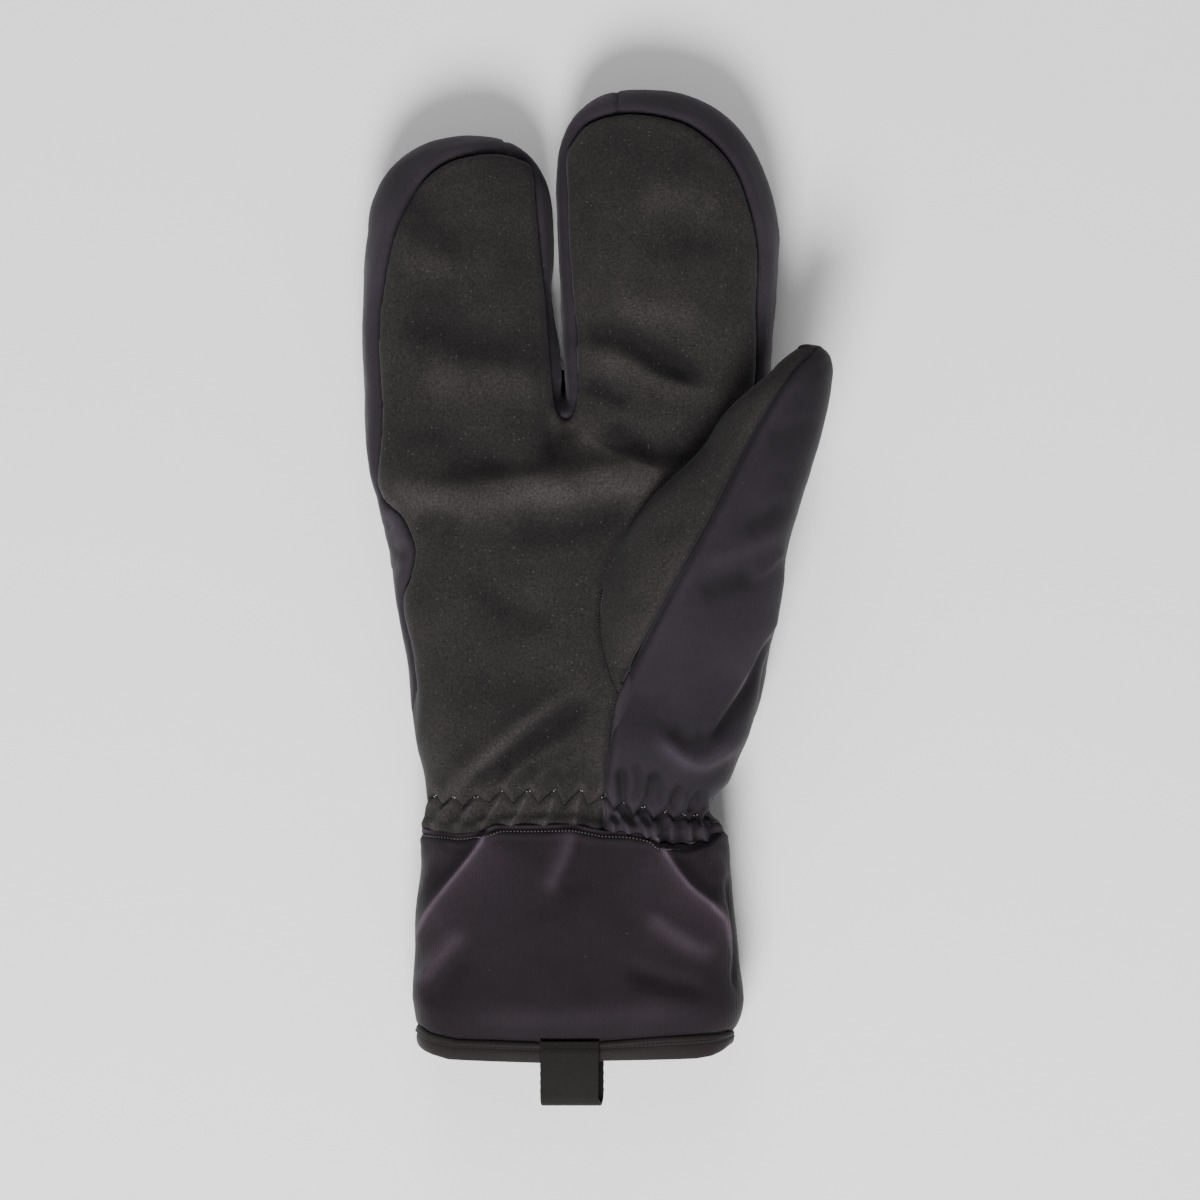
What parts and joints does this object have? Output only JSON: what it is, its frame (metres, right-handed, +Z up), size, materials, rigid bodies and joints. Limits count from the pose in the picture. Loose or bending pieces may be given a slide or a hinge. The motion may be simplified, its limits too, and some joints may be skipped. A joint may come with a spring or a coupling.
{
  "type": "padded three-finger winter glove for the right hand",
  "caption": "Padded lobster-style winter glove with paired finger pockets, a free thumb, an elasticated wrist, a gauntlet cuff and a ribbon pull loop, lying palm up",
  "frame": {"origin": "under the middle of the glove's bounding box, at the surface that its back rests on", "axes": "+Z up out of the palm, +Y toward the fingertips, +X toward the thumb"},
  "size_m": [0.1358, 0.2942, 0.0558],
  "materials": {
    "palm_cloth": "matte brownish-black brushed suede-like knit",
    "shell_cloth": "smooth purplish-black softshell with a slight sheen",
    "thumb_palm_cloth": "matte brownish-black brushed suede-like knit",
    "thumb_shell_cloth": "smooth purplish-black softshell with a slight sheen",
    "cuff_cloth": "smooth black softshell with fine ribs",
    "hem_cloth": "folded black edge binding",
    "loop_ribbon": "black grosgrain ribbon"
  },
  "bodies": {
    "root": {"palm_panel": "palm_cloth", "back_shell": "shell_cloth", "thumb_palm_panel": "thumb_palm_cloth", "thumb_outer_panel": "thumb_shell_cloth", "cuff": "cuff_cloth", "hem_band": "hem_cloth", "pull_loop": "loop_ribbon"}
  },
  "joints": []
}
